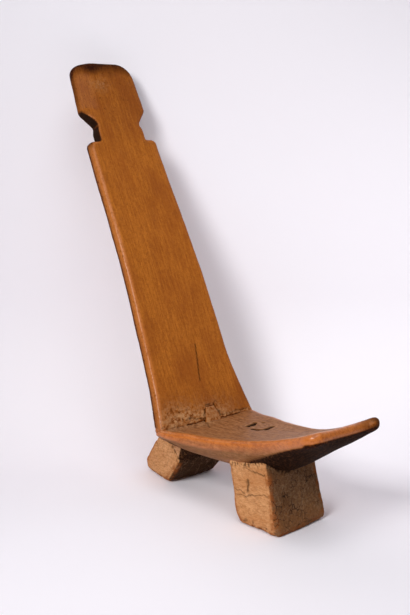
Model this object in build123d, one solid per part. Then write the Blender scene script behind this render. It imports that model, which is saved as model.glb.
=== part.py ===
from build123d import *
import math
import os

# Low African birthing chair: a tall leaning back board and a short dished seat,
# carried by one block leg in front and one raked block leg behind.
# X runs across the chair, +Y points behind the sitter and +Z is up.  While the
# pieces are modelled, Y = 0 is the front foot's front edge; at the end they are
# moved together so that the origin is the centre of the chair's outline on the floor.
# Sizes are in millimetres and angles in degrees.

# ---- fits between the pieces ----
side_gap = 0.3                 # on each side of a tenon, key or leg in its recess
end_gap = 0.6                  # past the end of a tenon or key

# ---- the corner where the seat meets the face of the back board ----
crease_y = 293.0
crease_height = 151.0

# ---- back board: x is across and y is up its face ----
back_lean = 28.95              # from the vertical
back_thickness = 29.0
back_foot_half_width = 127.0
flare_height = 168.0           # the foot of the board widens below this
flare_half_width = 107.5
flare_hollow = 3.0             # how far the flaring edges curve inward
side_hollow = 1.3              # and the long edges above them
shoulder_height = 680.0
shoulder_half_width = 91.5
shoulder_round = 12.0
neck_length = 39.0             # from the shoulders up to the notches
neck_half_width = 61.0
neck_swell = 4.0               # how far the bead of the neck stands out
notch_half_width = 57.0
chin_height = 37.0             # of the slanting cut from the notches up to the jaw
jaw_half_width = 85.5
head_length = 125.0            # from the jaw to the top of the crown
crown_half_width = 78.0
crown_left_round = 25.0        # the crown's corners are carved by eye and differ
crown_right_round = 45.0
back_edge_round = 9.0
head_edge_round = 8.0
back_bow = 9.0                 # how far the board arches forward between foot and shoulders
neck_bow = 1.5                 # how far forward of the flat foot it still is at the shoulders
crown_bow = 5.0                # and at the crown, where the head nods forward
bow_start = 90.0               # height up the face where the arch leaves the flat foot
bow_share = 0.41               # of the way from there to the shoulders, where it is highest

# ---- stub tenon under the back board ----
back_tenon_half_width = 48.0
back_tenon_thickness = 14.0
back_tenon_length = 34.0
back_tenon_setback = 9.0       # from the board's face

# ---- tapered key let into the board's face, over the joint ----
key_offset = 13.5
key_foot_width = 40.0
key_head_width = 21.0
key_height = 28.0
key_depth = 8.0
key_root = 7.0                 # how far it goes down into the seat

# ---- seat ----
seat_length = 422.0            # from the board's face to the front edge
seat_rise = 38.0               # steady rise from rear to front
seat_curl = 68.0               # extra lift of the curled front edge
seat_waist_half_width = 85.0
seat_waist_share = 0.6         # of its length, where it is narrowest
seat_front_half_width = 99.0
seat_dish = 4.0                # hollow across the seat
seat_twist = 3.6               # largest turn of a cross-section, sitter's left side down
seat_front_round = 28.0        # front corners, seen from above
rim_thickness = 27.5
rim_front_thickness = 25.0
rim_rear_thickness = 18.0
rim_top_round = 8.0
rim_low_round = 6.0
belly_depth = 46.0             # how far the rounded belly hangs below the rim
belly_inset = 4.0              # step from the rim's side to the belly

# ---- front leg ----
front_leg_half_width = 70.0
front_foot_depth = 109.0
front_leg_front_lean = 12.5
front_leg_rear_lean = 12.8
front_joint_height = 150.0     # top face of the leg, at its front edge
front_joint_slope = 13.7       # the top face falls towards the rear
front_leg_round = 7.0
front_tenon_half_width = 34.0
front_tenon_thickness = 42.0
front_tenon_length = 25.0

# ---- rear leg ----
rear_leg_rake = 37.5           # from the vertical, foot behind
rear_leg_thickness = 98.0
rear_leg_front_half_width = 68.0
rear_leg_rear_half_width = 58.0
rear_joint_y = 345.4           # middle of the leg's top face
rear_joint_height = 94.0
rear_leg_round = 8.0
rear_heel_round = 20.0
rear_toe_round = 9.0
rear_tenon_half_width = 36.0
rear_tenon_thickness = 40.0
rear_tenon_length = 28.0
socket_length = 72.0           # the seat's socket block, measured along the leg
heel_height = 36.0             # how far that block climbs the board's back

# ---- wedges that spread the three hidden tenons ----
wedge_thick_end = 5.0
wedge_thin_end = 1.6
wedge_share = 0.8              # of the tenon's length

tenon_chamfer = 1.5
overlap = 1.0                  # how deep fused parts of one piece run into each other
far = 500.0                    # longer than any cut needs
plank_half_width = 150.0       # of the plank that the seat is cut from

# ---- how the seat's form runs over shares of its length, 0 at the board and 1 in front ----
seat_flare_power = 1.42        # how the sides swing out from the waist to the board
seat_curl_power = 3.4          # how late the front edge curls up
rim_rear_power = 8             # how soon the rim reaches its full thickness
twist_start = 0.3
twist_peak = 0.72              # the turn is gone again at the front edge
belly_fade_start = 0.5
belly_fade_power = 1.7
belly_end = 0.98
seat_stations = [0, 0.15, 0.3, 0.45, 0.6, 0.75, 0.88]
plan_stations = [0, 0.12, 0.3, 0.6, 0.8, 1]

steep = 0.9                    # an edge whose direction has more than this of an axis runs along it


def sine(degrees):
    return math.sin(math.radians(degrees))


def cosine(degrees):
    return math.cos(math.radians(degrees))


def tangent(degrees):
    return math.tan(math.radians(degrees))


# Each joint has its own plane: x runs across the chair and z out of the joint face.
back_plane = Plane((0, crease_y, crease_height), (1, 0, 0), (0, -cosine(back_lean), sine(back_lean)))
front_joint = Plane(
    (0, front_joint_height * tangent(front_leg_front_lean), front_joint_height),
    (1, 0, 0),
    (0, sine(front_joint_slope), cosine(front_joint_slope)),
)
rear_joint = Plane(
    (0, rear_joint_y, rear_joint_height),
    (1, 0, 0),
    (0, -sine(rear_leg_rake), cosine(rear_leg_rake)),
)
notch_height = shoulder_height + neck_length
jaw_height = notch_height + chin_height
back_length = jaw_height + head_length
back_tenon_middle = -back_tenon_setback - back_tenon_thickness / 2
back_tenon_plane = Plane(
    back_plane.from_local_coords((0, 0, back_tenon_middle)),
    (1, 0, 0),
    (0, -sine(back_lean), -cosine(back_lean)),
)
seat_rear_y = crease_y + back_thickness * cosine(back_lean)
front_joint_depth = front_foot_depth + front_joint_height * tangent(front_leg_rear_lean)
front_tenon_middle = (front_joint_depth - front_joint_height * tangent(front_leg_front_lean)) / 2
front_tenon_plane = front_joint.shift_origin(front_joint.from_local_coords((0, front_tenon_middle, 0)))


def direction(edge):
    """The edge's unit direction at its middle."""
    return edge.tangent_at(0.5)


def block(half_width, y_from, y_to, z_from, z_to):
    """A box centred on x = 0 that spans the given y and z."""
    box = Box(2 * half_width, y_to - y_from, z_to - z_from, align=(Align.CENTER, Align.MIN, Align.MIN))
    return Pos(0, y_from, z_from) * box


def tenon(half_width, thickness, length, gap=0.0, end=0.0):
    """A stub that stands on a joint face and goes up z; gap and end make it its mortise."""
    half_thickness = thickness / 2 + gap
    stub = block(half_width + gap, -half_thickness, half_thickness, -overlap, length + end)
    if gap == 0:
        stub = chamfer(stub.faces().sort_by(Axis.Z)[-1].edges(), tenon_chamfer)
    return stub


def tenon_wedge(breadth, tenon_length):
    """A wedge driven into the end of a tenon: its thick end is flush with the tenon's end."""
    tip = tenon_length * (1 - wedge_share)
    with_taper = Polyline(
        (-wedge_thin_end / 2, tip),
        (wedge_thin_end / 2, tip),
        (wedge_thick_end / 2, tenon_length),
        (-wedge_thick_end / 2, tenon_length),
        close=True,
    )
    side = make_face(Plane.XZ * with_taper)
    return extrude(side, amount=breadth / 2 - tenon_chamfer, both=True)


def board_plank():
    """The plank that the board is cut from: flat at its foot, arched above, nodding at its head."""
    foot_end = (bow_start, 0)
    crest = (bow_start + bow_share * (shoulder_height - bow_start), back_bow)
    neck = (shoulder_height, neck_bow)
    top = (back_length, crown_bow)
    nod = (back_length - shoulder_height, crown_bow - neck_bow)
    arch = Spline(foot_end, crest, neck, top, tangents=[(1, 0), nod])
    face = [Line((0, 0), foot_end), arch]
    rear = [Pos(0, -back_thickness, 0) * edge for edge in face]
    ends = [Line((0, 0), (0, -back_thickness)), Line(top, (back_length, crown_bow - back_thickness))]
    return extrude(Plane.YZ * make_face(face + rear + ends), amount=plank_half_width, both=True)


def board_body():
    """The board from its foot to its shoulders, lying face up with its foot on y = 0."""
    foot = (back_foot_half_width, 0)
    knee = (flare_half_width, flare_height)
    shoulder = (shoulder_half_width, shoulder_height)
    flare = SagittaArc(foot, knee, flare_hollow)
    side = SagittaArc(knee, shoulder, side_hollow)
    right = [flare, side]
    left = [edge.mirror(Plane.YZ) for edge in right]
    bottom = Line((-back_foot_half_width, 0), foot)
    top = Line(shoulder, (-shoulder_half_width, shoulder_height))
    outline = make_face(right + left + [bottom, top])
    outline = fillet(outline.vertices().group_by(Axis.Y)[-1], shoulder_round)
    body = extrude(outline, amount=far, both=True) & board_plank()
    rounded = []
    for edge in body.edges():
        on_a_face = abs(direction(edge).Z) < steep and edge.center().Y > overlap
        lengthwise = abs(direction(edge).X) < steep
        if on_a_face and (lengthwise or edge.center().Y > shoulder_height - overlap):
            rounded.append(edge)
    return fillet(rounded, back_edge_round)


def board_head():
    """The neck with its bead, the slanting chin and the crown, running down into the body."""
    root = shoulder_height - 2 * shoulder_round
    collar = (neck_half_width, shoulder_height)
    notch = (notch_half_width, notch_height)
    jaw = (jaw_half_width, jaw_height)
    crown = (crown_half_width, back_length)
    throat = Line((neck_half_width, root), collar)
    bead = SagittaArc(collar, notch, -neck_swell)
    chin = Line(notch, jaw)
    cheek = Line(jaw, crown)
    right = [throat, bead, chin, cheek]
    left = [edge.mirror(Plane.YZ) for edge in right]
    bottom = Line((-neck_half_width, root), (neck_half_width, root))
    top = Line(crown, (-crown_half_width, back_length))
    outline = make_face(right + left + [bottom, top])
    outline = fillet(outline.vertices().group_by(Axis.Y)[-1].sort_by(Axis.X)[0], crown_left_round)
    outline = fillet(outline.vertices().group_by(Axis.Y)[-1].sort_by(Axis.X)[-1], crown_right_round)
    head = extrude(outline, amount=far, both=True) & board_plank()
    rounded = []
    for edge in head.edges():
        if abs(direction(edge).Z) < steep and edge.center().Y > jaw_height + overlap:
            rounded.append(edge)
    return fillet(rounded, head_edge_round)


def key_shape(gap=0.0, end=0.0):
    """The tapered key, standing on the joint with its root below it, face at z = 0."""
    taper = (key_foot_width - key_head_width) / 2 / key_height
    root_half = key_foot_width / 2 + taper * key_root + gap
    head_half = key_head_width / 2 + gap
    outline = Polyline(
        (-root_half, -key_root - end),
        (root_half, -key_root - end),
        (head_half, key_height + gap),
        (-head_half, key_height + gap),
        close=True,
    )
    return Pos(key_offset, 0, 0) * extrude(make_face(outline), amount=-key_depth - gap)


def back_tenon(gap=0.0, end=0.0):
    return back_tenon_plane * tenon(back_tenon_half_width, back_tenon_thickness, back_tenon_length, gap, end)


def back_wedge():
    return back_tenon_plane * tenon_wedge(back_tenon_thickness, back_tenon_length)


def back_board():
    board = board_body() + board_head()
    pocket = key_shape(side_gap) + Pos(0, 0, overlap) * key_shape(side_gap)
    board = back_plane * (board - pocket)
    return board + back_tenon() - back_wedge()


def seat_width(share):
    """Half the seat's width: it swings in from the board to a waist and out to the front."""
    before = max(1 - max(share, 0) / seat_waist_share, 0)
    after = max(share - seat_waist_share, 0) / (1 - seat_waist_share)
    rear_swing = (back_foot_half_width - seat_waist_half_width) * before ** seat_flare_power
    front_swing = (seat_front_half_width - seat_waist_half_width) * after ** 2
    return seat_waist_half_width + rear_swing + front_swing


def seat_height(share):
    """Height of the seat's side edges, before the twist."""
    along = max(share, 0)
    return crease_height + seat_rise * along + seat_curl * along ** seat_curl_power


def rim_depth(share):
    """The rim is thinnest at the rear, full by the middle and a little thinner in front."""
    along = max(share, 0)
    rear_part = (rim_thickness - rim_rear_thickness) * (1 - along) ** rim_rear_power
    front_part = (rim_thickness - rim_front_thickness) * along ** 2
    return rim_thickness - rear_part - front_part


def belly_sag(share):
    """How far the belly hangs below the rim: full at the rear, fading to the front."""
    late = max(share - belly_fade_start, 0) / (1 - belly_fade_start)
    return belly_depth * (1 - late ** belly_fade_power)


def seat_frame(share):
    """The plane of one cross-section; the twist grows and fades smoothly."""
    rise = (share - twist_start) / (twist_peak - twist_start)
    fall = (1 - share) / (1 - twist_peak)
    near = max(min(rise, fall, 1), 0)
    turn = seat_twist * (3 * near ** 2 - 2 * near ** 3)
    origin = (0, crease_y - share * seat_length, seat_height(share))
    return Plane(origin, (cosine(turn), 0, -sine(turn)), (0, -1, 0))


def rim_section(share):
    """A plank wider than the seat, hollowed across, to be cut to the seat's plan."""
    half = plank_half_width
    hollow = seat_dish * (half / seat_width(share)) ** 2
    depth = rim_depth(share)
    top = ThreePointArc((-half, hollow - seat_dish), (0, -seat_dish), (half, hollow - seat_dish))
    sides = Polyline((half, hollow - seat_dish), (half, -depth), (-half, -depth), (-half, hollow - seat_dish))
    return seat_frame(share) * make_face([top, sides])


def belly_section(share):
    half = seat_width(share) - belly_inset
    depth = rim_depth(share)
    chord = Line((-half, overlap - depth), (half, overlap - depth))
    arc = ThreePointArc((half, overlap - depth), (0, -depth - belly_sag(share)), (-half, overlap - depth))
    return seat_frame(share) * make_face([chord, arc])


def seat_plan():
    """The seat from above: as wide as the board at the rear, waisted, with round corners."""
    points = [(seat_width(share), crease_y - share * seat_length) for share in plan_stations]
    heel = (back_foot_half_width, seat_rear_y)
    front_swing = 2 * (seat_front_half_width - seat_waist_half_width) / (1 - seat_waist_share)
    right = [Line(heel, points[0]), Spline(points, tangents=[(0, -1), (front_swing / seat_length, -1)])]
    left = [edge.mirror(Plane.YZ) for edge in right]
    rear = Line((-back_foot_half_width, seat_rear_y), heel)
    front = Line(points[-1], (-points[-1][0], points[-1][1]))
    plan = make_face(right + left + [rear, front])
    plan = fillet(plan.vertices().group_by(Axis.Y)[0], seat_front_round)
    return fillet(plan.vertices().group_by(Axis.Y)[-1], back_edge_round)


def seat_rim():
    """The dished top with its rounded rim, full width from front to rear."""
    rear_share = (crease_y - seat_rear_y) / seat_length
    plank = loft([rim_section(share) for share in [rear_share] + seat_stations + [1]])
    rim = plank & extrude(seat_plan(), amount=far)
    for top_side, radius in ((True, rim_top_round), (False, rim_low_round)):
        chosen = []
        for edge in rim.edges():
            middle = edge.center()
            share = (crease_y - middle.Y) / seat_length
            on_top = seat_frame(share).to_local_coords(middle).Y > -rim_depth(share) / 2
            lengthwise = abs(direction(edge).Z) < steep and middle.Y < seat_rear_y - overlap
            if lengthwise and on_top == top_side:
                chosen.append(edge)
        rim = fillet(chosen, radius)
    return rim


def seat_belly():
    """The rounded underside, deepest over the legs and gone before the front edge."""
    rear_share = (crease_y - seat_rear_y) / seat_length
    return loft([belly_section(share) for share in [rear_share] + seat_stations + [belly_end]])


def leg_wall(front_half, rear_half, half_depth, bottom, top):
    """A tapering wall of wood along a leg: its section is a trapezoid, widest in front."""
    section = Polyline(
        (-front_half, -half_depth),
        (front_half, -half_depth),
        (rear_half, half_depth),
        (-rear_half, half_depth),
        close=True,
    )
    return Pos(0, 0, bottom) * extrude(make_face(section), amount=top - bottom)


def rear_socket():
    """The seat's own wood that runs down to the rear leg and up behind the board."""
    half_depth = rear_leg_thickness / 2
    wall = leg_wall(rear_leg_front_half_width, rear_leg_rear_half_width, half_depth, 0, socket_length)
    socket = rear_joint * fillet(wall.edges().filter_by(Axis.Z), rear_leg_round)
    return socket - back_plane * block(far, heel_height, far, -far, far)


def rear_tenon(gap=0.0, end=0.0):
    return rear_joint * tenon(rear_tenon_half_width, rear_tenon_thickness, rear_tenon_length, gap, end)


def rear_wedge():
    return rear_joint * tenon_wedge(rear_tenon_thickness, rear_tenon_length)


def front_tenon(gap=0.0, end=0.0):
    stub = tenon(front_tenon_half_width, front_tenon_thickness, front_tenon_length, gap, end)
    return front_tenon_plane * stub


def front_wedge():
    return front_tenon_plane * tenon_wedge(front_tenon_thickness, front_tenon_length)


def front_leg_block(gap=0.0):
    """The leg below its joint face: both its front and its rear face lean back."""
    top = 2 * front_joint_height
    side = Polyline(
        (-gap, 0),
        (front_foot_depth + gap, 0),
        (front_foot_depth + gap + top * tangent(front_leg_rear_lean), top),
        (-gap + top * tangent(front_leg_front_lean), top),
        close=True,
    )
    leg = extrude(make_face(Plane.YZ * side), amount=front_leg_half_width + gap, both=True)
    return leg - front_joint * block(far, -far, far, 0, far)


def front_leg():
    leg = front_leg_block()
    lowest = leg.edges().group_by(Axis.Z)[0]
    corners = [edge for edge in leg.edges() if abs(direction(edge).Z) > steep]
    leg = fillet(corners + list(lowest), front_leg_round)
    return leg + front_tenon() - front_wedge()


def rear_leg():
    """The raked leg below its joint face, with a worn heel and toe and a flat sole."""
    half_depth = rear_leg_thickness / 2
    top_front = rear_joint.from_local_coords((0, -half_depth, 0))
    top_rear = rear_joint.from_local_coords((0, half_depth, 0))
    toe_y = top_front.Y + top_front.Z * tangent(rear_leg_rake)
    heel_y = top_rear.Y + top_rear.Z * tangent(rear_leg_rake)
    corners = [(top_front.Y, top_front.Z), (toe_y, 0), (heel_y, 0), (top_rear.Y, top_rear.Z)]
    side = make_face(Polyline(corners, close=True))
    sole = side.vertices().group_by(Axis.Y)[0].sort_by(Axis.X)
    side = fillet(sole[0], rear_toe_round)
    heel = side.vertices().sort_by(Axis.X)[-1]
    side = fillet(heel, rear_heel_round)
    leg = extrude(Plane.YZ * side, amount=rear_leg_front_half_width, both=True)
    wall = leg_wall(rear_leg_front_half_width, rear_leg_rear_half_width, half_depth, -far, 0)
    leg = leg & rear_joint * wall
    long_edges = []
    for edge in leg.edges():
        below_joint = rear_joint.to_local_coords(edge.center()).Z < -overlap
        if below_joint and abs(direction(edge).X) < steep:
            long_edges.append(edge)
    leg = fillet(long_edges, rear_leg_round)
    return leg + rear_tenon() - rear_wedge()


def seat():
    body = seat_rim() + seat_belly() + rear_socket()
    board_room = back_plane * block(far, 0, far, -back_thickness - side_gap, far)
    body = body - board_room - back_tenon(side_gap, end_gap)
    body = body - back_plane * key_shape(side_gap, end_gap)
    body = body - front_leg_block(side_gap) - front_tenon(side_gap, end_gap)
    return body - rear_tenon(side_gap, end_gap)


pieces = {
    "seat": seat(),
    "back_board": back_board(),
    "face_key": back_plane * key_shape(),
    "front_leg": front_leg(),
    "rear_leg": rear_leg(),
    "back_tenon_wedge": back_wedge(),
    "front_tenon_wedge": front_wedge(),
    "rear_tenon_wedge": rear_wedge(),
}
outline = Compound(children=[shape.solid() for shape in pieces.values()]).bounding_box()
to_origin = Pos(0, -(outline.min.Y + outline.max.Y) / 2, 0)

os.makedirs("parts", exist_ok=True)
for name, shape in pieces.items():
    export_step(to_origin * shape, "parts/" + name + ".step")
    print(name, round(shape.volume), "mm3")
print("footprint centre was at y =", round(-to_origin.position.Y, 2))
print("overall", [round(size, 1) for size in outline.size])
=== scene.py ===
# %% [markdown]
# # A low African birthing chair
# The chair is a tall back board that leans far back, and a short dished seat on two block
# legs.  The joiner's solids come in as a fixed frame, already at their real size.  This
# lesson carves, wears and colours them: hand-cut edges, checks in the dry end grain, a
# knot in the seat, and wood that hands have polished.

# %% Load the frame
import math

import bmesh
import bpy
import numpy as np
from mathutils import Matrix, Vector


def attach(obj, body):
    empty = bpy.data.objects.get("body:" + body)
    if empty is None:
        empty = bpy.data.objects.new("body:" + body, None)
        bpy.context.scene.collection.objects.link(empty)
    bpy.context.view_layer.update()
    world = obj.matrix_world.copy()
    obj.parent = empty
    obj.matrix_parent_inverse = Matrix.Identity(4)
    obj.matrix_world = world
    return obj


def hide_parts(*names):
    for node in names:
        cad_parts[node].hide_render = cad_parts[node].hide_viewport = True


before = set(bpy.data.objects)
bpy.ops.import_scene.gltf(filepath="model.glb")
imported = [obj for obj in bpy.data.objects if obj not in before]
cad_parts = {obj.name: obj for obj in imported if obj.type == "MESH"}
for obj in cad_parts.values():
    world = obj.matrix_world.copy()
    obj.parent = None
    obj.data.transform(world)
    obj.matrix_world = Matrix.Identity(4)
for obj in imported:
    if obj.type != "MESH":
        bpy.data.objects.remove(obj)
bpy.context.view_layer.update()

print("pieces in the frame:", sorted(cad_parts))

# %% [markdown]
# ## Where things are
# Lengths in this lesson are in metres, X runs across the chair, Z is up and the sitter
# looks along -Y.  The board is easiest to think about lying flat, so the crease where it
# meets the seat, and its lean, give it coordinates of its own: across, up its face, and
# out of its face.

# %% The board's own coordinates
MM = 0.001
FIT_SHIFT = 304.35 * MM             # from the front foot's edge to the origin
CREASE = np.array([0.0, 293.0 * MM - FIT_SHIFT, 151.0 * MM])
LEAN = math.radians(28.95)
UP_FACE = np.array([0.0, math.sin(LEAN), math.cos(LEAN)])
OUT_OF_FACE = np.array([0.0, -math.cos(LEAN), math.sin(LEAN)])


def on_board(points):
    """Across, up and out: each point's offset from the crease along the board's three axes."""
    offset = points - CREASE
    return np.stack([offset[:, 0], offset @ UP_FACE, offset @ OUT_OF_FACE], axis=1)


def from_front(path):
    """A path whose second numbers run back from the front foot's edge, as X and Y."""
    return [(across, back - FIT_SHIFT) for across, back in path]


print("crease at", CREASE.round(4), "metres")

# %% [markdown]
# ## Carving
# A carver starts from the squared solid and takes wood away.  The same is done here: a
# copy of the joiner's solid is rebuilt as a fine even skin of small squares, its sharp
# edges are rubbed down, and then a depth is worked out for every point at once, as a
# numpy array, for the hollows, checks and dents.

# %% A fine even skin over a solid
def even_skin(node, grid):
    """Points, edges and faces of a copy of the solid, rebuilt as squares of the given size."""
    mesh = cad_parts[node].data.copy()
    joined = bmesh.new()
    joined.from_mesh(mesh)
    bmesh.ops.remove_doubles(joined, verts=joined.verts, dist=1e-6)
    joined.to_mesh(mesh)
    joined.free()
    blank = bpy.data.objects.new("blank", mesh)
    bpy.context.scene.collection.objects.link(blank)
    remesh = blank.modifiers.new("even", "REMESH")
    remesh.mode = "VOXEL"
    remesh.voxel_size = grid
    graph = bpy.context.evaluated_depsgraph_get()
    skin = bpy.data.meshes.new_from_object(blank.evaluated_get(graph))
    bpy.data.objects.remove(blank)
    bpy.data.meshes.remove(mesh)
    return skin


def mesh_points(mesh):
    """The mesh's points as one array, a row for each point."""
    flat = np.empty(len(mesh.vertices) * 3)
    mesh.vertices.foreach_get("co", flat)
    return flat.reshape(-1, 3)


def mesh_normals(mesh):
    """The outward direction at each point."""
    flat = np.empty(len(mesh.vertices) * 3)
    mesh.vertex_normals.foreach_get("vector", flat)
    return flat.reshape(-1, 3)


def mesh_edges(mesh):
    """The two ends of each edge, as the numbers of its points."""
    flat = np.empty(len(mesh.edges) * 2, dtype=np.int64)
    mesh.edges.foreach_get("vertices", flat)
    return flat.reshape(-1, 2)


def set_points(mesh, points):
    """Put the array of points back into the mesh."""
    mesh.vertices.foreach_set("co", points.ravel())
    mesh.update()


# %% [markdown]
# ## The carver's tools
# Each tool below works on all the points at once.  Most of them answer with a mask, a
# number for each point that says how much of something there is, usually from 0 to 1.

# %% Rubbing edges down
def rub(points, edges, rounds, share=0.5):
    """Each round moves every point a share of the way to the mean of its neighbours."""
    first, second = edges[:, 0], edges[:, 1]
    count = len(points)
    neighbours = np.bincount(first, minlength=count) + np.bincount(second, minlength=count)
    for _ in range(rounds):
        total = np.empty_like(points)
        for axis in range(3):
            total[:, axis] = np.bincount(first, points[second, axis], count)
            total[:, axis] += np.bincount(second, points[first, axis], count)
        points = points + share * (total / neighbours[:, None] - points)
    return points


# %% Unevenness
WAVE_COUNT = 24


def waves(points, length, seed):
    """A smooth random field, mostly from -1 to 1: a sum of plane waves of about one length.

    The sum of the sines is divided by the root of their count, so it can reach about 2.
    """
    rng = np.random.default_rng(seed)
    direction = rng.normal(size=(WAVE_COUNT, 3))
    direction /= np.linalg.norm(direction, axis=1)[:, None]
    speed = 2 * math.pi / length * rng.uniform(0.6, 1.6, WAVE_COUNT)
    phase = rng.uniform(0, 2 * math.pi, WAVE_COUNT)
    total = np.sin(points @ (direction * speed[:, None]).T + phase).sum(axis=1)
    return total / math.sqrt(WAVE_COUNT)


def hand_cut(points, seed, hollows, marks):
    """Adze hollows and smaller tool marks: two waves, each given as a height and a length."""
    broad = hollows[0] * waves(points, hollows[1], seed)
    return broad + marks[0] * waves(points, marks[1], seed + 1)


def warp(flat, points, size, length, seed):
    """Flat positions pushed about by waves, so that what is drawn on them wanders."""
    across = waves(points, length, seed)
    along = waves(points, length, seed + 100)
    return flat + size * np.stack([across, along], axis=1)


# %% Masks
def smooth_step(value, low, high):
    """0 below low, 1 above high, and an even S between them."""
    share = np.clip((value - low) / (high - low), 0, 1)
    return share * share * (3 - 2 * share)


def fade(value, low, high):
    """1 below low and 0 above high: the same S, going down."""
    return 1 - smooth_step(value, low, high)


def band(value, middle, reach):
    """1 at the middle and fading to both sides: exp(-((value - middle) / reach) squared)."""
    return np.exp(-((value - middle) / reach) ** 2)


def line_mask(flat, path, width):
    """1 on a drawn line and fading beside it: exp(-(distance / width) squared)."""
    nearest = np.full(len(flat), 1e9)
    for start, end in zip(path[:-1], path[1:]):
        start, end = np.array(start), np.array(end)
        run = end - start
        share = np.clip((flat - start) @ run / (run @ run), 0, 1)
        gap = flat - start - share[:, None] * run
        nearest = np.minimum(nearest, (gap ** 2).sum(axis=1))
    return np.exp(-nearest / width ** 2)


def drawn(flat, lines):
    """Several lines together, each given as its darkness, its width and its path."""
    return sum(dark * line_mask(flat, path, width) for dark, width, path in lines)


def spot_mask(flat, centre, reach):
    """1 at a centre and fading around it, with a reach of its own along each axis."""
    scaled = (flat - np.array(centre)) / np.array(reach)
    return np.exp(-(scaled ** 2).sum(axis=1))


def closeness(points, others, reach):
    """1 where a point touches another piece, fading with the distance d: exp(-(d/reach)^2)."""
    low, high = points.min(axis=0) - 3 * reach, points.max(axis=0) + 3 * reach
    others = others[((others > low) & (others < high)).all(axis=1)][::2]
    nearest = np.full(len(points), 1.0)
    for part in np.array_split(others, 1 + len(others) // 400):
        gap = (points ** 2).sum(1)[:, None] + (part ** 2).sum(1) - 2 * points @ part.T
        nearest = np.minimum(nearest, gap.min(axis=1))
    return np.exp(-np.clip(nearest, 0, None) / reach ** 2)


# %% From solid to finished piece
FULL_WEAR = 1.5 * MM                # how far an edge stands out where wear reaches 1


def add_field(mesh, name, values):
    """Store one number for each point, for a finish to read."""
    field = mesh.attributes.new(name, "FLOAT", "POINT")
    field.data.foreach_set("value", values.astype(np.float32))


def carve(node, name, grid, first_cut, softness, depth, spread):
    """Copy a solid, reshape it, rub it down, then push each point in by a depth of its own.

    first_cut takes all the points and gives them back where the first rough cuts put them.
    softness gives rounds of rubbing, with the share by which a round moves each point.  The
    depth comes with fields from 0 to 1 that the finish reads.  One more field,
    wear_and_hollow_shade, compares the rubbed skin with one rubbed far more: 1 on edges that
    stand out, which the finish paints as worn, -1 in corners, which it darkens as painted
    shade, and 0 where shelter says that no hand reaches.
    """
    mesh = even_skin(node, grid)
    edges = mesh_edges(mesh)
    points = rub(first_cut(mesh_points(mesh)), edges, 2)
    for rounds, share in softness(points):
        points = rub(points, edges, rounds, share[:, None])
    set_points(mesh, points)
    normals = mesh_normals(mesh)
    deep, fields = depth(points, normals)
    broad = rub(points, edges, spread)
    wear_and_hollow_shade = ((points - broad) * normals).sum(axis=1)
    set_points(mesh, points - normals * deep[:, None])
    mesh.shade_smooth()
    wear_and_hollow_shade = np.clip(wear_and_hollow_shade / FULL_WEAR, -1, 1) * (1 - np.clip(fields.pop("shelter"), 0, 1))
    add_field(mesh, "wear_and_hollow_shade", wear_and_hollow_shade)
    for field, values in fields.items():
        add_field(mesh, field, np.clip(values, 0, 1))
    piece = bpy.data.objects.new(name, mesh)
    bpy.context.scene.collection.objects.link(piece)
    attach(piece, "root")
    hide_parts(node)
    print(name, "has", len(mesh.polygons), "squares; deepest cut", round(deep.max() / MM, 1), "mm")
    return piece


# %% [markdown]
# ## The back board
# One plank, adzed and then rubbed by years of backs and hands.  Its surface rolls gently,
# a thin split runs up from the key, and the joint line at its foot is ragged and patched.
# Places on the board are given as across and up its face.

# %% Lines and patches on the board
SPLIT_WIDTH = 1.25 * MM
SPLIT = [(0.008, 0.088), (0.011, 0.105), (0.018, 0.138), (0.023, 0.170)]
JOINT_LINES = [
    (0.6, 1.75 * MM, [(-0.047, 0.010), (-0.034, 0.008), (-0.022, 0.006), (-0.008, 0.004)]),
    (0.6, 1.55 * MM, [(0.032, 0.005), (0.050, 0.004), (0.065, 0.005), (0.088, 0.005), (0.110, 0.007)]),
    (0.6, 1.15 * MM, [(0.024, 0.030), (0.031, 0.037), (0.036, 0.034)]),
]
KEY_LINES = [
    (1.0, 1.75 * MM, [(-0.012, 0.003), (-0.006, 0.014), (0.003, 0.031), (0.014, 0.033)]),
    (0.9, 1.35 * MM, [(0.024, 0.033), (0.029, 0.020), (0.034, 0.006)]),
]
FILLER_PATCHES = [                  # how thick it lies, its middle and its reach
    (1.0, (-0.075, 0.012), (0.050, 0.034)),
    (0.9, (-0.025, 0.004), (0.045, 0.018)),
    (0.6, (0.030, 0.010), (0.045, 0.030)),
]
HEAD_SPECKS = [(-0.034, 0.806), (-0.012, 0.812), (-0.030, 0.788), (-0.004, 0.826)]
HEAD_SCUFF = (-0.022, 0.822)
HEAD_THINNED = 13 * MM              # at its left edge
FOOT_SUNK = 2.2 * MM                # into the seat


def thin_head_edge(points):
    """The head thinned towards its left edge, and the foot bedded 1 to 2 mm into the seat."""
    place = on_board(points)
    near_edge = fade(place[:, 0], -0.082, -0.030) * smooth_step(place[:, 1], 0.735, 0.765)
    share = np.clip(1 + place[:, 2] / 0.045, 0, 1)
    foot = fade(place[:, 1], 0.0, 0.02) * (0.7 + 0.5 * waves(points, 0.03, 24))
    sunk = (FOOT_SUNK * foot)[:, None] * UP_FACE
    return points - sunk - (HEAD_THINNED * near_edge * share)[:, None] * OUT_OF_FACE


def board_softness(points):
    """Long edges rubbed round, the head rounder still, the joint at the foot left crisp."""
    place = on_board(points)
    above_joint = smooth_step(place[:, 1], 0.04, 0.10)
    head = smooth_step(place[:, 1], 0.73, 0.78) * fade(place[:, 0], -0.05, -0.02)
    return [(10, 0.5 * above_joint), (40, 0.5 * head)]


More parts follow.
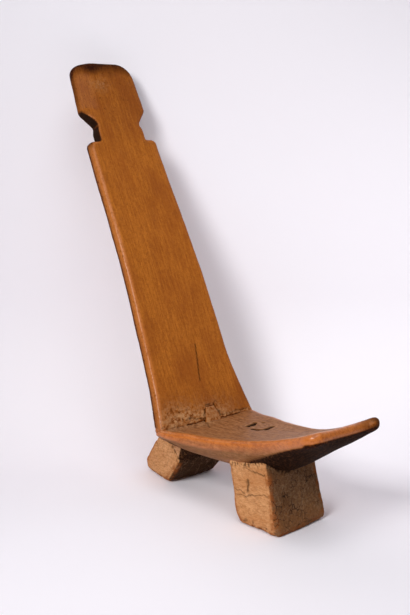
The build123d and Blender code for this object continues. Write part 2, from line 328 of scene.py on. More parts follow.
def below_surface(place, facing):
    """How far each point lies below the board's front surface, whose arch is measured."""
    steps = np.linspace(0.0, 0.9, 46)
    front = facing > 0.9
    which = np.digitize(place[front, 1], steps)
    total = np.bincount(which, place[front, 2], len(steps) + 1)
    count = np.bincount(which, minlength=len(steps) + 1)
    full = count > 0
    middle = np.concatenate([[0.0], steps])[full] + (steps[1] - steps[0]) / 2
    return np.interp(place[:, 1], middle, total[full] / count[full]) - place[:, 2]


# %% What lies on the board
def board_filler(flat, height):
    """Filler pressed into the joint in patches, and right along the crease."""
    filler = sum(thick * spot_mask(flat, middle, reach) for thick, middle, reach in FILLER_PATCHES)
    return np.clip(filler + 0.7 * fade(height, 0.004, 0.009), 0, 1)


def board_marks(points, place, flat, filler):
    """The split, the joint's ragged lines, gaps in the filler, and specks on the head."""
    mark = 1.1 * line_mask(place[:, :2], SPLIT, SPLIT_WIDTH) + drawn(flat, JOINT_LINES)
    ragged = warp(flat, points, 1.1 * MM, 0.007, 28)
    mark += drawn(ragged, KEY_LINES) * smooth_step(waves(points, 0.018, 29), -1.4, -0.2)
    for centre in HEAD_SPECKS:
        mark += 0.5 * spot_mask(flat, centre, (2.5 * MM, 2 * MM))
    mark += 0.5 * filler * smooth_step(waves(points, 0.012, 25), 0.7, 1.3)
    on_head = smooth_step(place[:, 1], 0.74, 0.76)
    return mark + 0.5 * on_head * smooth_step(waves(points, 0.006, 30), 1.4, 1.9)


def notch_painted_shade(place, facing, edge):
    """Painted shade, black, in the left notch below the head, lighter in one bit of it."""
    height = place[:, 1]
    notch = smooth_step(height, 0.672, 0.682) * fade(height, 0.745, 0.765)
    notch = notch * (1 - 0.9 * band(height, 0.7165, 0.006))
    return 2 * notch * edge * fade(place[:, 0], -0.04, -0.02) * smooth_step(facing, -0.7, -0.3)


def board_shade_and_dark_head(points, normals, place, facing, edge):
    """Painted shade under the chin and the neck and on the board's back; the crown and the head's edges
    darker.
    """
    height = place[:, 1]
    # Painted shade: the faces under the chin and the neck are made near black.
    below_chin = smooth_step(-(normals @ UP_FACE), 0.1, 0.4) * smooth_step(height, 0.69, 0.71)
    below_chin = below_chin * fade(place[:, 0], -0.02, 0.01)
    under_neck = smooth_step(-normals[:, 0], 0.1, 0.5) * band(height, 0.692, 0.022)
    right_side = smooth_step(place[:, 0], 0.03, 0.06)
    head_edge = 0.45 * smooth_step(height, 0.74, 0.80) + 0.4 * right_side * smooth_step(height, 0.68, 0.74)
    crown = smooth_step(height + 0.006 * waves(points, 0.06, 27), 0.835, 0.880)
    # Painted shade on the board's back face.
    behind = smooth_step(below_surface(place, facing), 0.014, 0.0175) * smooth_step(facing, -0.9, -0.55)
    behind = behind * (0.8 - 0.6 * smooth_step(height, 0.725, 0.75))
    return 2 * below_chin + 1.8 * under_neck + edge * head_edge + crown + behind


# %% Carve the back board
def board_depth(points, normals):
    """Rolling adze work, the lines and the rough filler, with chips on its edges, painted shade in the
    notch, under the chin and the neck and on the back, and a darker head.
    """
    place = on_board(points)
    flat = warp(place[:, :2], points, 1.2 * MM, 0.014, 20)
    height = place[:, 1]
    facing = normals @ OUT_OF_FACE
    front = smooth_step(facing, 0.3, 0.8)
    edge = fade(facing, 0.55, 0.95)
    filler = board_filler(flat, height)
    notch = notch_painted_shade(place, facing, edge)
    # The notch's painted shade also darkens the marks field here.
    nicks_and_notch_shade = 0.7 * edge * smooth_step(waves(points, 0.010, 21), 1.2, 1.7) + 0.9 * notch
    right_side = smooth_step(place[:, 0], 0.03, 0.06)
    in_crease = fade(height, 0.01, 0.06) * smooth_step(place[:, 0], -0.118, -0.106)
    fields = {
        "mark": front * board_marks(points, place, flat, filler) + nicks_and_notch_shade,
        "pale": front * (filler + 0.5 * spot_mask(flat, HEAD_SCUFF, (0.020, 0.016))),
        # On the board this field is painted shade under the chin and neck, in the notch and on the back,
        # and a darker crown and head edges.
        "soot": board_shade_and_dark_head(points, normals, place, facing, edge) + notch,
        "shelter": right_side + in_crease,
    }
    deep = hand_cut(points, 1, (0.5 * MM, 0.11), (0.12 * MM, 0.03))
    deep += 0.8 * MM * filler * waves(points, 0.009, 23)
    return deep + 0.9 * MM * np.clip(fields["mark"], 0, 1), fields


back_board = carve(
    "back_board", "back_board_carved", 2.36 * MM, thin_head_edge, board_softness, board_depth, 32
)


# %% Carve the key
def as_sawn(points):
    """No first cut: the solid is used as it is."""
    return points


def hardly_rubbed(points):
    """One light round of rubbing."""
    return [(1, np.full(len(points), 0.2))]


def key_depth(points, normals):
    """A face a little uneven, with the same filler rubbed over it."""
    face = smooth_step(normals @ OUT_OF_FACE, 0.3, 0.8)
    none = np.zeros(len(points))
    fields = {"mark": none, "pale": 0.8 * face, "soot": none, "shelter": none + 1}
    return 0.3 * MM * waves(points, 0.02, 22), fields


face_key = carve("face_key", "face_key_carved", 0.9 * MM, as_sawn, hardly_rubbed, key_depth, 10)

# %% [markdown]
# ## The seat
# The seat is a thick tongue, hollowed on top and rounded like a boat below, with a block
# left behind for the rear leg.  A knot lies where the sitter's left thigh rests: the wood
# round it has shrunk, so it is ringed by a slot and a curved check.

# %% The knot and its grain
KNOT = (0.040, 172.0 * MM - FIT_SHIFT)
KNOT_RADIUS = 16 * MM
GRAIN_SPACINGS = (17 * MM, 11 * MM, 7.5 * MM, 5.2 * MM)
RING_SPACING = 8.5 * MM
RING_REACH = 50 * MM
SLOT = from_front([(0.026, 0.189), (0.039, 0.193), (0.052, 0.199)])
SLOT_MIDDLE = from_front([(0.040, 0.194)])[0]
CHECK = from_front([(0.016, 0.166), (0.018, 0.150), (0.030, 0.140), (0.052, 0.145)])
SMALL_CHECK = from_front([(0.062, 0.184)])[0]
CREASE_CRACK = from_front([(-0.008, 0.296), (-0.018, 0.274), (-0.032, 0.248)])
TIP_CHIP = (0.057, -0.435, 0.242)


def grain_round_knot(flat, points):
    """Light and dark lines that run front to back and part round the knot, from 0 to 1.

    The lines are those along which across * (1 - radius^2 / distance^2) stays the same, the
    way that a stream flows round a post.
    """
    across = flat[:, 0] - KNOT[0]
    distance = np.hypot(across, 0.7 * (flat[:, 1] - KNOT[1]))
    stream = across * (1 - (KNOT_RADIUS / np.maximum(distance, KNOT_RADIUS)) ** 2)
    stream = stream + 0.004 * waves(points, 0.12, 32)
    lines = np.zeros(len(points))
    for number, spacing in enumerate(GRAIN_SPACINGS):
        wander = 2 * waves(points * (1, 0.3, 1), 0.05, 33 + number)
        lines += np.sin(2 * math.pi * stream / spacing + wander)
    ring = 0.75 * band(distance, 0, RING_REACH)
    lines = (1 - ring) * smooth_step(distance, 0.014, 0.022) * 0.8 * lines
    lines += 2.6 * ring * np.sin(2 * math.pi * distance / RING_SPACING + waves(points, 0.04, 38))
    return smooth_step(lines, -2.4, 2.4)


# %% Rough cuts on the seat
TIP_FULLER = 4 * MM                 # at the front left corner
BELLY_LOWER = 8.5 * MM              # round the front leg
LEFT_RIM_RAISED = 5 * MM
FRONT_LEG_REACH = 0.25              # how far ahead of the origin the front leg stands


def blunt_tip(points):
    """Fuller at the front left corner and under the belly, and the left rim bent up a little."""
    ahead = -points[:, 1]
    corner = smooth_step(ahead, 0.36, 0.43)
    below = fade(points[:, 2] - 0.9 * (ahead - 0.19), 0.010, 0.040)
    moved = points.copy()
    moved[:, 1] -= TIP_FULLER * corner
    moved[:, 2] += MM * corner * (1.5 - 5.5 * below)
    from_leg = ahead - FRONT_LEG_REACH
    under = fade(points[:, 2] - 0.162 - 0.35 * from_leg, -0.006, 0.006)
    round_leg = fade(np.abs(points[:, 0]), 0.074, 0.090) * band(from_leg, -0.01, 0.08)
    moved[:, 2] -= BELLY_LOWER * under * round_leg
    middle = smooth_step(ahead, 0.04, 0.12) * fade(ahead, 0.32, 0.41)
    moved[:, 2] += LEFT_RIM_RAISED * middle * smooth_step(points[:, 0], 0.04, 0.12)
    return moved


def seat_softness(points):
    """Rubbed all over, but the edge under the back board left crisp."""
    clear = smooth_step(CREASE[1] - points[:, 1], 0.0, 0.03)
    front = smooth_step(-points[:, 1], 0.08, 0.25)
    return [(22, 0.5 * clear), (34, 0.5 * front)]


# %% Carve the seat
def seat_shade_and_dark_tip(points, below, forward, block, chip):
    """Painted shade under the belly, near black under its front; stain and painted shade on the front of
    the rear block; the front left tip darker.
    """
    beside_block = -points[:, 1] + 0.3 * (0.09 - points[:, 2])
    front_of_block = block * smooth_step(beside_block, -0.006, 0.001)
    tip = smooth_step(-points[:, 1], 0.36, 0.43) * smooth_step(points[:, 0], 0.0, 0.08)
    # below and below * forward are painted shade; front_of_block is part stain, part painted shade.
    return 0.3 * below + 1.6 * below * forward + 0.85 * tip * (1 - 0.9 * chip) + 1.5 * front_of_block


def seat_depth(points, normals):
    """Rolling adze work, the knot's slot and check, low rings round it, and a chipped tip."""
    flat = warp(points[:, :2], points, 1.2 * MM, 0.014, 30)
    top = smooth_step(normals[:, 2], 0.3, 0.8)
    ahead = -points[:, 1]
    to_crease = CREASE[1] - points[:, 1]
    slot = line_mask(flat, SLOT, 5.2 * MM) + 0.4 * spot_mask(flat, SLOT_MIDDLE, (0.012, 0.010))
    slot = smooth_step(slot, 0.30, 0.60)
    check = line_mask(flat, CHECK, 3.6 * MM)
    mark = 3 * slot + 1.6 * check + 0.7 * line_mask(flat, CREASE_CRACK, 1.8 * MM)
    mark += 0.8 * spot_mask(flat, SMALL_CHECK, (2.5 * MM, 6 * MM))
    grain = grain_round_knot(flat, points)
    chip = spot_mask(points, TIP_CHIP, (0.011, 0.012, 0.0042))
    filler = fade(to_crease, 0.005, 0.045) * fade(points[:, 0], -0.02, 0.06) * top
    gaps = filler * smooth_step(waves(points, 0.012, 25), 0.8, 1.4)
    below = smooth_step(-normals[:, 2], 0.08, 0.55)
    forward = smooth_step(-normals[:, 1], 0.10, 0.32) * smooth_step(ahead, 0.19, 0.27)
    block = fade(points[:, 2], 0.112, 0.128) * smooth_step(points[:, 1], -0.035, -0.015)
    in_knot = top * np.clip(3 * slot + 1.4 * check, 0, 1)
    fields = {
        "mark": top * mark + 0.5 * gaps,
        # Besides the chip and the filler, the 0.35 share on the top towards the front is a painted sheen
        # in the filler colour.
        "pale": chip + 0.35 * top * smooth_step(ahead, 0.0, 0.14) + 0.9 * filler,
        # This field carries the seat's painted shade, with the darker tip and the knot's slot and check.
        "soot": seat_shade_and_dark_tip(points, below, forward, block, chip) + in_knot,
        "grain": grain,
        "raw": block + 0.35 * below * (1 - forward),
        "shelter": fade(to_crease, 0, 0.03) * fade(np.abs(points[:, 0]), 0.104, 0.116),
    }
    cut = 2.5 * MM * (np.clip(mark, 0, 1) + slot) + 0.35 * MM * grain
    cut -= 1.6 * MM * filler * smooth_step(waves(points, 0.013, 26), -0.3, 1.0)
    deep = hand_cut(points, 3, (0.45 * MM, 0.09), (0.12 * MM, 0.028))
    return deep + top * cut + 1.6 * MM * chip, fields


seat = carve("seat", "seat_carved", 2.0 * MM, blunt_tip, seat_softness, seat_depth, 40)

# %% [markdown]
# ## The legs
# Both legs are left rough.  Their grain runs front to back, so their front faces are end
# grain, which dries out in a net of checks, and their sides split along the grain.

# %% What both legs share
SEAM_REACH = 9 * MM


def block_leg(points, seed, pit_size, pits_from):
    """Hand-cut faces, how near the seam is, pits along it, and hollows worn into the foot."""
    deep = hand_cut(points, seed, (0.8 * MM, 0.07), (0.35 * MM, 0.018))
    seam = closeness(points, mesh_points(seat.data), SEAM_REACH)
    pits = smooth_step(waves(points, pit_size, seed + 2) + 1.2 * seam, pits_from, pits_from + 0.6)
    worn = fade(points[:, 2], 0.0, 0.022) * waves(points, 0.03, seed + 3)
    return deep, seam, pits * (0.15 + 0.85 * seam), 0.9 * MM * np.clip(worn, 0, 1)


def leg_softness(points):
    """Rubbed at every point, and the foot and its corners far more."""
    low = fade(points[:, 2], 0.010, 0.045)
    return [(26, np.full(len(points), 0.5)), (90, 0.5 * low)]


# %% Checks in the front leg
CHECK_WIDTH = 0.9 * MM
SIDE_LINES = [                      # each point as back from the front edge, and up
    (0.8, 2.2 * MM, [(0.071, 0.098), (0.071, 0.086), (0.071, 0.074)]),
    (0.8, CHECK_WIDTH, [(0.080, 0.122), (0.062, 0.119), (0.046, 0.118), (0.027, 0.119)]),
    (0.8, CHECK_WIDTH, [(0.117, 0.070), (0.098, 0.071), (0.080, 0.067)]),
    (0.8, CHECK_WIDTH, [(0.103, 0.059), (0.075, 0.064), (0.045, 0.073), (0.019, 0.080)]),
]
FRONT_LINES = [                     # each point as across, and up
    (0.7, CHECK_WIDTH, [(-0.008, 0.0), (-0.006, 0.012), (0.013, 0.012), (0.034, 0.010)]),
    (0.7, CHECK_WIDTH, [(0.040, 0.118), (0.043, 0.100), (0.039, 0.084)]),
    (0.7, CHECK_WIDTH, [(-0.035, 0.090), (-0.030, 0.070), (-0.036, 0.055)]),
]
FRONT_SPLIT_WIDTH = 1.1 * MM
FRONT_SPLIT = [(0.024, 0.110), (0.023, 0.080), (0.020, 0.053), (0.013, 0.030), (0.008, 0.014)]
LEG_AXIS = np.array([0.0, -0.2495])
LEG_TURN = math.radians(6.5)
LET_IN = 5 * MM                     # how much further its top goes into the seat
FOOT_SWELL = 4.5 * MM
SIDE_SWELL = 3.0 * MM


def turned_leg(points):
    """The leg was set a little askew: turned about its own axis, its top let into the seat."""
    cosine, sine = math.cos(LEG_TURN), math.sin(LEG_TURN)
    moved = points.copy()
    moved[:, :2] = LEG_AXIS + (points[:, :2] - LEG_AXIS) @ np.array([[cosine, sine], [-sine, cosine]])
    moved[:, 2] += LET_IN * smooth_step(points[:, 2], 0.07, 0.14)
    return moved


# %% Carve the front leg
def front_leg_depth(points, normals):
    """Uneven faces, checks along the sides, a net of checks in front, pits below the seat."""
    deep, seam, pits, worn = block_leg(points, 5, 0.009, 0.9)
    side = smooth_step(np.abs(normals[:, 0]), 0.4, 0.8)
    front = smooth_step(-normals[:, 1], 0.4, 0.8)
    low = fade(points[:, 2], 0.01, 0.075)
    along_side = np.stack([points[:, 1] + FIT_SHIFT, points[:, 2]], axis=1)
    along_side = warp(along_side, points, 1.5 * MM, 0.016, 40)
    along_front = warp(points[:, [0, 2]], points, 1.8 * MM, 0.016, 50)
    split = front * line_mask(along_front, FRONT_SPLIT, FRONT_SPLIT_WIDTH)
    chipped = fade(points[:, 2], 0.004, 0.024) * smooth_step(waves(points, 0.014, 13), 0.5, 1.1)
    mark = side * (drawn(along_side, SIDE_LINES) + 0.9 * chipped)
    mark += front * drawn(along_front, FRONT_LINES) + 0.9 * pits
    fields = {"mark": mark, "soot": front * (1 - 0.25 * low), "pale": 2 * split, "shelter": 0.8 * seam}
    swell = FOOT_SWELL * low * (front + 0.3 * side) + SIDE_SWELL * smooth_step(normals[:, 0], 0.4, 0.8)
    return deep + 1.3 * MM * np.clip(mark + split, 0, 1) + worn - swell, fields


front_leg = carve(
    "front_leg", "front_leg_carved", 1.5 * MM, turned_leg, leg_softness, front_leg_depth, 110
)


# %% Carve the rear leg
def rear_leg_depth(points, normals):
    """Uneven faces, pits below the seat and a few elsewhere, and a rough front darkened partly by stain
    and partly by painted shade.
    """
    deep, seam, pits, worn = block_leg(points, 9, 0.010, 1.0)
    pits = pits + 0.4 * smooth_step(waves(points, 0.007, 14), 0.8, 1.5)
    front = smooth_step(-normals[:, 1], 0.3, 0.7)
    # The front face's darkening in both fields is part stain, part painted shade.
    fields = {"mark": 0.8 * (pits + front), "soot": 2 * front, "pale": 0 * front, "shelter": 0.8 * seam}
    return deep + 1.1 * MM * pits + worn, fields


rear_leg = carve("rear_leg", "rear_leg_carved", 1.5 * MM, as_sawn, leg_softness, rear_leg_depth, 110)

# %% [markdown]
# ## Shader arithmetic
# A finish is a small sum over the surface.  The class below lets that sum be written as
# Python: adding or multiplying a wrapped socket adds the Math node that does it.

# %% Sums of sockets
class Value:
    """A shader socket that adds a Math node when an operator is used on it."""

    def __init__(self, finish, socket):
        self.finish = finish
        self.socket = socket

    def math(self, operation, first, second):
        return self.finish.node("ShaderNodeMath", {"operation": operation}, {0: first, 1: second})

    def __add__(self, other):
        return self.math("ADD", self, other)

    def __radd__(self, other):
        return self.math("ADD", other, self)

    def __sub__(self, other):
        return self.math("SUBTRACT", self, other)

    def __rsub__(self, other):
        return self.math("SUBTRACT", other, self)

    def __mul__(self, other):
        return self.math("MULTIPLY", self, other)

    def __rmul__(self, other):
        return self.math("MULTIPLY", other, self)


# %% One finish
class Finish:
    """A material under construction, with the few kinds of node that the finishes share."""

    def __init__(self, name):
        self.material = bpy.data.materials.new(name)
        self.material.use_nodes = True
        self.tree = self.material.node_tree
        self.tree.nodes.clear()

    def node(self, kind, settings, sockets, output=0):
        """Add a node: its settings are set first, then each socket's value or link."""
        made = self.tree.nodes.new(kind)
        for key, value in settings.items():
            setattr(made, key, value)
        for key, value in sockets.items():
            if isinstance(value, Value):
                self.tree.links.new(value.socket, made.inputs[key])
            else:
                made.inputs[key].default_value = value
        return Value(self, made.outputs[output])

    def mix(self, share, first, second):
        """A colour between two colours."""
        pair = [c if isinstance(c, Value) else (*c, 1.0) for c in (first, second)]
        settings = {"data_type": "RGBA", "clamp_factor": True}
        return self.node("ShaderNodeMix", settings, {0: share, 6: pair[0], 7: pair[1]}, 2)

    def tint(self, share, colour, tone):
        """The colour multiplied by a tone, by a share from 0 to 1."""
        settings = {"data_type": "RGBA", "blend_type": "MULTIPLY", "clamp_factor": True}
        return self.node("ShaderNodeMix", settings, {0: share, 6: colour, 7: (*tone, 1.0)}, 2)

    def place(self, turn=(0, 0, 0), stretch=(1, 1, 1), centre=(0, 0, 0)):
        """Where the surface is, moved to a centre, turned, and then scaled."""
        here = self.node("ShaderNodeTexCoord", {}, {}, 3)
        centred = self.node("ShaderNodeVectorMath", {"operation": "SUBTRACT"}, {0: here, 1: centre})
        turned = self.node("ShaderNodeMapping", {}, {"Vector": centred, "Rotation": turn})
        return self.node("ShaderNodeVectorMath", {"operation": "MULTIPLY"}, {0: turned, 1: stretch})

    def noise(self, where, scale, detail, roughness=0.5, output=0):
        """Cloudy noise: its scale is in lumps to the metre, and detail adds finer lumps."""
        sockets = {"Vector": where, "Scale": scale, "Detail": detail, "Roughness": roughness}
        return self.node("ShaderNodeTexNoise", {}, sockets, output)

    def step(self, value, low, high):
        """0 below low and 1 above high, with a smooth rise between; low may be the larger."""
        settings = {"interpolation_type": "SMOOTHSTEP"}
        return self.node("ShaderNodeMapRange", settings, {0: value, 1: low, 2: high})

    def field(self, name):
        """A number stored on the mesh."""
        return self.node("ShaderNodeAttribute", {"attribute_name": name}, {}, 2)

    def wood(self, colour, roughness, height, depth, wax):
        """Matt wood under a film of wax, with a height in shares of the depth, in metres."""
        bump = self.node("ShaderNodeBump", {}, {"Strength": 1.0, "Distance": depth, "Height": height})
        sockets = {"Base Color": colour, "Roughness": roughness, "Normal": bump}
        sockets.update({"Specular IOR Level": 0.05, "Coat Weight": wax, "Coat Roughness": 0.28})
        return self.output(self.node("ShaderNodeBsdfPrincipled", {}, sockets))

    def output(self, surface):
        """Send a shader to the surface, and hand the material over."""
        out = self.tree.nodes.new("ShaderNodeOutputMaterial")
        self.tree.links.new(surface.socket, out.inputs["Surface"])
        return self.material


# %% [markdown]
# ## Wood
# Wood is a bundle of fibres.  Noise squeezed across the grain and drawn out along it gives
# the streaks, a finer one the fibres, and the finest the pores.  A broad one gives the
# blotches of oil and handling.

# %% The shared wood
CRACK_TONE = (38, 22, 12)
BOARD_TURN = (LEAN, 0, 0)
SEAT_TURN = (math.pi / 2, 0, 0)
LEG_GRAIN_TURN = (math.pi / 2 + 0.17, 0, 0)


def rgb(red, green, blue):
    """A display colour from 0 to 255, as the linear light that a shader wants."""
    def linear(value):
        value = value / 255
        return value / 12.92 if value <= 0.04045 else ((value + 0.055) / 1.055) ** 2.4
    return (linear(red), linear(green), linear(blue))


def wood_grain(f, turn, reach):
    """Streaks, fibres and pores of wood whose grain runs along the turned Z axis."""
    along = f.place(turn, (1, 1, reach))
    streak = f.noise(along, 300.0, 5.0, 0.62)
    fibre = f.noise(along, 760.0, 3.0, 0.6)
    pores = f.step(f.noise(f.place(turn, (1, 1, reach * 1.6)), 900.0, 2.0), 0.60, 0.72)
    return streak, fibre, pores


def relief(streak, fibre, pores):
    """How high the grain stands: streaks and fibres raised, pores sunk."""
    return 0.5 * streak + 0.35 * fibre - 0.5 * pores


def checks(f, turn, reach, size, low=0.48, high=0.60):
    """A net of fine drying checks: cell walls drawn out along the grain, broken by noise."""
    where = f.place(turn, (1, 1, reach))
    wander = f.noise(where, size * 0.7, 3.0, 0.6, output=1)
    wander = f.node("ShaderNodeVectorMath", {"operation": "SCALE"}, {0: wander, "Scale": 0.6 / size})
    bent = f.node("ShaderNodeVectorMath", {"operation": "ADD"}, {0: where, 1: wander})
    settings = {"feature": "DISTANCE_TO_EDGE"}
    walls = f.node("ShaderNodeTexVoronoi", settings, {"Vector": bent, "Scale": size})
    return f.step(walls, 0.07, 0.0) * f.step(f.noise(where, size * 0.5, 2.0), low, high)


def aged_and_shaded(f, colour, stain_and_shade_tone, filler):
    """The fields painted over bare wood: filler with gaps, stain and painted shade, painted shade in
    hollow corners, and cracks, which on the board's notch and the rear leg's front also carry painted
    shade; on the seat's top front the filler colour is a painted sheen.
    """
    pale, wear_and_hollow_shade = f.field("pale"), f.field("wear_and_hollow_shade")
    speckle = f.step(f.noise(f.place(), 220.0, 5.0, 0.75), 0.36, 0.64)
    fleck = f.noise(f.place(), 120.0, 6.0, 0.72)
    # On the seat's top front the pale field lays the filler colour on as a painted sheen.
    colour = f.mix(pale * f.step(fleck, 0.36, 0.66) * 0.7, colour, filler)
    colour = f.tint(pale * f.step(fleck, 0.48, 0.36) * 0.8, colour, (0.42, 0.38, 0.36))
    # Stain on the legs' end grain; painted shade on the board, the seat and the rear leg's front.
    colour = f.tint(f.field("soot") * (0.85 + 0.25 * speckle), colour, stain_and_shade_tone)
    # Painted shade in hollow corners, where the field is below zero.
    colour = f.tint(f.step(wear_and_hollow_shade, -0.15, -0.8) * 0.8, colour, (0.25, 0.22, 0.20))
    return f.mix(f.field("mark") * 0.9, colour, rgb(*CRACK_TONE))


def clean(f):
    """1 where no stain, painted shade or check dulls the wood."""
    return f.step(f.field("soot") + f.field("mark"), 0.5, 0.0)


def dry_wood(f):
    """Bare wood that has never been oiled: its colour and its relief."""
    streak, fibre, pores = wood_grain(f, LEG_GRAIN_TURN, 0.30)
    sway = f.noise(f.place(LEG_GRAIN_TURN, (1, 1, 0.3)), 14.0, 2.0)
    colour = f.mix(f.step(streak, 0.30, 0.70), rgb(190, 132, 83), rgb(215, 160, 110))
    mottle = f.noise(f.place(LEG_GRAIN_TURN, (1, 1, 0.5)), 150.0, 6.0, 0.8)
    colour = f.tint(f.step(mottle, 0.53, 0.40) * 0.6, colour, (0.68, 0.58, 0.48))
    colour = f.mix(f.step(sway, 0.42, 0.64) * 0.5, colour, rgb(178, 112, 60))
    colour = f.mix(f.step(fibre, 0.38, 0.24) * 0.4, colour, rgb(112, 68, 36))
    colour = f.mix(pores * 0.5, colour, rgb(80, 48, 26))
    return colour, relief(streak, fibre, pores)


# %% The board's finish
def back_finish():
    """Orange-brown, oiled; darker at foot and crown; polished at its edges."""
    f = Finish("oiled_back_wood")
    streak, fibre, pores = wood_grain(f, BOARD_TURN, 0.06)
    blotch = f.noise(f.place(BOARD_TURN, (1, 1, 0.5)), 16.0, 4.0, 0.55)
    colour = f.mix(f.step(streak, 0.30, 0.70), rgb(160, 89, 26), rgb(186, 110, 36))
    mottle = f.noise(f.place(BOARD_TURN, (1, 1, 0.8)), 190.0, 6.0, 0.85)
    colour = f.tint(f.step(mottle, 0.55, 0.42) * 0.6, colour, (0.66, 0.60, 0.52))
    speckle = f.noise(f.place(), 380.0, 4.0, 0.8)
    colour = f.tint(f.step(speckle, 0.50, 0.36) * 0.5, colour, (0.66, 0.58, 0.50))
    colour = f.mix(f.step(blotch, 0.40, 0.70) * 0.6, colour, rgb(138, 70, 20))
    colour = f.mix(f.step(fibre, 0.35, 0.2) * 0.35, colour, rgb(112, 58, 20))
    colour = f.mix(pores * 0.35, colour, rgb(92, 46, 18))
    polish = f.step(f.field("wear_and_hollow_shade"), 0.3, 0.85) * f.step(mottle, 0.36, 0.52)
    colour = f.mix(polish * 0.8, colour, rgb(186, 110, 50))
    up_face = f.node("ShaderNodeSeparateXYZ", {}, {0: f.place(BOARD_TURN, centre=tuple(CREASE))}, 2)
    ends = f.step(up_face, 0.60, 0.85) * 0.55 + f.step(up_face, 0.12, 0.0) * 0.45
    colour = f.tint(ends, colour, (0.68, 0.64, 0.66))
    colour = aged_and_shaded(f, colour, (0.10, 0.06, 0.04), rgb(200, 155, 110))
    rough = 0.50 + 0.16 * streak + 0.2 * f.field("mark")
    wax = clean(f) * (0.12 + 0.3 * polish)
    return f.wood(colour, rough, relief(streak, fibre, pores), 0.35 * MM, wax)


# %% The seat's finish
def seat_finish():
    """Greyer and browner on top, flowing round the knot, polished orange on the rim."""
    f = Finish("worn_seat_wood")
    streak, fibre, pores = wood_grain(f, SEAT_TURN, 0.05)
    colour = f.mix(f.step(streak, 0.30, 0.70), rgb(126, 78, 42), rgb(168, 112, 68))
    colour = f.mix(f.step(fibre, 0.35, 0.2) * 0.4, colour, rgb(88, 52, 28))
    colour = f.mix(pores * 0.4, colour, rgb(70, 42, 26))
    mottle = f.noise(f.place(SEAT_TURN, (1, 1, 0.5)), 150.0, 6.0, 0.8)
    colour = f.tint(f.step(f.field("grain"), 0.55, 0.95) * 0.4, colour, (0.52, 0.46, 0.42))
    colour = f.mix(f.step(f.field("grain"), 0.45, 0.05) * 0.25, colour, rgb(186, 138, 96))
    polish = f.step(f.field("wear_and_hollow_shade"), 0.10, 0.7)
    colour = f.mix(polish * 0.8, colour, rgb(202, 112, 40))
    colour = f.tint(f.step(mottle, 0.54, 0.40) * 0.75, colour, (0.62, 0.50, 0.40))
    bare = dry_wood(f)[0]
    colour = f.mix(f.field("raw"), colour, bare)
    colour = aged_and_shaded(f, colour, (0.035, 0.02, 0.01), rgb(172, 128, 90))
    rough = 0.46 + 0.16 * streak + 0.3 * f.field("soot") - polish * 0.12
    wax = clean(f) * (0.14 + 0.65 * polish)
    return f.wood(colour, rough, relief(streak, fibre, pores), 0.35 * MM, wax)


# %% The legs' finish
def leg_finish():
    """Dry and pale along the grain, dark and crazed where the end grain shows."""
    f = Finish("dry_leg_wood")
    colour, height = dry_wood(f)
    soot = f.field("soot")
    colour = aged_and_shaded(f, colour, (0.26, 0.265, 0.29), rgb(176, 136, 100))
    rubbed = f.step(f.field("wear_and_hollow_shade"), 0.3, 0.95) * f.step(f.noise(f.place(), 60.0, 5.0, 0.7), 0.40, 0.58)
    colour = f.mix(rubbed * 0.75, colour, rgb(142, 76, 32))
    light = checks(f, LEG_GRAIN_TURN, 0.12, 105.0, 0.44, 0.56)
    colour = f.mix(light * soot * 0.45, colour, rgb(150, 120, 94))
    crazed = checks(f, LEG_GRAIN_TURN, 0.12, 75.0) * (0.08 + 0.92 * soot)
    colour = f.mix(crazed * 0.9, colour, rgb(30, 18, 12))
    rough = 0.74 + 0.1 * f.field("mark")
    return f.wood(colour, rough, height - 1.2 * crazed, 0.6 * MM, 0.05 * clean(f))


finishes = {
    "back_wood": back_finish(),
    "seat_wood": seat_finish(),
    "leg_wood": leg_finish(),
    "key_wood": back_finish(),
}

# %% Dress the pieces
def dress(piece, slot):
    """Give a piece the finish kept under the slot's name."""
    piece.data.materials.clear()
    piece.data.materials.append(finishes[slot])


dress(back_board, "back_wood")
dress(seat, "seat_wood")
dress(face_key, "key_wood")
dress(front_leg, "leg_wood")
dress(rear_leg, "leg_wood")
for name in ("back_tenon_wedge", "front_tenon_wedge", "rear_tenon_wedge"):
    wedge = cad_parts[name]
    wedge.data.materials.clear()
    wedge.data.materials.append(finishes["seat_wood"])

# %% [markdown]
# ## The studio
# A sheet of pale paper runs forward from a wall just behind the chair's head.  A large
# soft lamp stands high on the left, a second hangs above, a weak third brightens the right
# side of the wall, and the white room fills in the rest.

# %% Camera
VIEW_YAW = math.radians(-37.104)
VIEW_PITCH = math.radians(11.279)
CAMERA_PLACE = (-1.2061, -1.5920, 0.7960)
LONG_SIDE = 615
FOCAL_PIXELS = 952.7

camera_data = bpy.data.cameras.new("camera")
camera_data.sensor_width = 36.0
camera_data.lens = camera_data.sensor_width * FOCAL_PIXELS / LONG_SIDE
camera = bpy.data.objects.new("camera", camera_data)
camera.location = CAMERA_PLACE
camera.rotation_euler = (math.pi / 2 - VIEW_PITCH, 0, VIEW_YAW)
bpy.context.scene.collection.objects.link(camera)
bpy.context.scene.camera = camera
print("lens", round(camera_data.lens, 2), "mm")

# %% Floor and wall in one sweep
PAPER_TONE = (0.92, 0.89, 0.935, 1.0)
WALL_DISTANCE = 0.41       # from the origin, away from the camera
WALL_BEND = 0.35           # radius of the sweep between floor and wall
WALL_HEIGHT = 4.0
PAPER_REACH = 6.0          # how far the paper runs forward and to each side


def sweep_profile(count):
    """Away from the camera and up: a flat floor, a quarter circle and an upright wall."""
    turn = np.linspace(0, math.pi / 2, count)
    out = WALL_DISTANCE - WALL_BEND + WALL_BEND * np.sin(turn)
    arc = np.stack([out, WALL_BEND - WALL_BEND * np.cos(turn)], 1)
    return np.concatenate([[[-PAPER_REACH, 0.0]], arc, [[WALL_DISTANCE, WALL_HEIGHT]]])


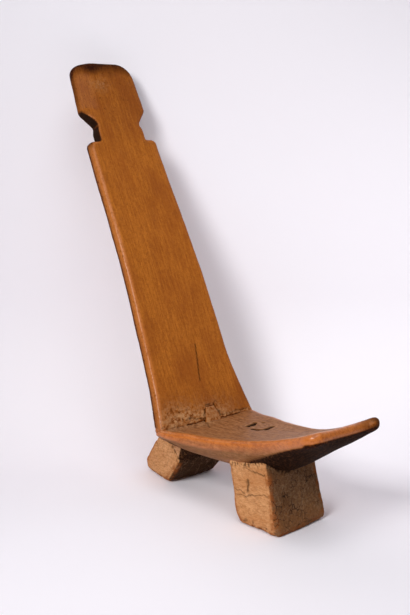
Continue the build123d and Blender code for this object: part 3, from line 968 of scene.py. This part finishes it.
profile = sweep_profile(40)
away = np.array([math.sin(-VIEW_YAW), math.cos(-VIEW_YAW), 0.0])
aside = np.array([away[1], -away[0], 0.0])
sides = np.array([-PAPER_REACH, PAPER_REACH])
grid = profile[:, None, 0, None] * away + sides[None, :, None] * aside
grid = grid + profile[:, None, 1, None] * np.array([0.0, 0.0, 1.0])
rows = len(profile)
index = np.arange(rows * 2).reshape(rows, 2)
faces = np.stack([index[:-1, 0], index[:-1, 1], index[1:, 1], index[1:, 0]], axis=1)
paper = bpy.data.meshes.new("paper")
paper.from_pydata(grid.reshape(-1, 3).tolist(), [], faces.tolist())
paper.shade_smooth()
backdrop = bpy.data.objects.new("paper_sweep", paper)
bpy.context.scene.collection.objects.link(backdrop)

# %% The paper shows its front only
paper_finish = Finish("pale_paper")
bounce = paper_finish.node("ShaderNodeBsdfDiffuse", {}, {"Color": PAPER_TONE})
clear = paper_finish.node("ShaderNodeBsdfTransparent", {}, {})
behind = paper_finish.node("ShaderNodeNewGeometry", {}, {}, "Backfacing")
sheet = paper_finish.node("ShaderNodeMixShader", {}, {0: behind, 1: bounce, 2: clear})
backdrop.data.materials.append(paper_finish.output(sheet))

# %% The floor beyond the paper
floor_mesh = bpy.data.meshes.new("studio_floor")
floor_corners = [(-7, -7, -0.001), (7, -7, -0.001), (7, 7, -0.001), (-7, 7, -0.001)]
floor_mesh.from_pydata(floor_corners, [], [(0, 1, 2, 3)])
floor = bpy.data.objects.new("studio_floor", floor_mesh)
bpy.context.scene.collection.objects.link(floor)
floor_finish = Finish("pale_floor")
floor_tone = floor_finish.node("ShaderNodeBsdfDiffuse", {}, {"Color": PAPER_TONE})
floor.data.materials.append(floor_finish.output(floor_tone))


# %% Light
ROOM_TONE = (0.94, 0.94, 1.0, 1.0)
ROOM_STRENGTH = 0.15


def soft_lamp(name, place, target, size, watts, spread):
    """A square soft lamp that looks at a point, its light held within a spread in degrees."""
    data = bpy.data.lights.new(name, "AREA")
    data.size = size
    data.energy = watts
    data.spread = math.radians(spread)
    lamp = bpy.data.objects.new(name, data)
    lamp.location = place
    look = Vector(target) - Vector(place)
    lamp.rotation_euler = look.to_track_quat("-Z", "Y").to_euler()
    bpy.context.scene.collection.objects.link(lamp)


soft_lamp("key_lamp", (-2.2, -0.94, 1.9), (0.35, -0.1, 0.15), 0.95, 15.6, 95)
soft_lamp("top_lamp", (-0.5, -1.0, 2.4), (0.0, -0.4, 0.0), 1.3, 9.6, 125)
soft_lamp("wall_lamp", (0.776, -0.963, 0.80), (0.686, -0.005, 0.47), 0.8, 0.6, 60)
world = bpy.data.worlds.new("white_room")
world.use_nodes = True
room = world.node_tree.nodes["Background"]
room.inputs["Color"].default_value = ROOM_TONE
room.inputs["Strength"].default_value = ROOM_STRENGTH
bpy.context.scene.world = world
bpy.context.scene.view_settings.view_transform = "Standard"
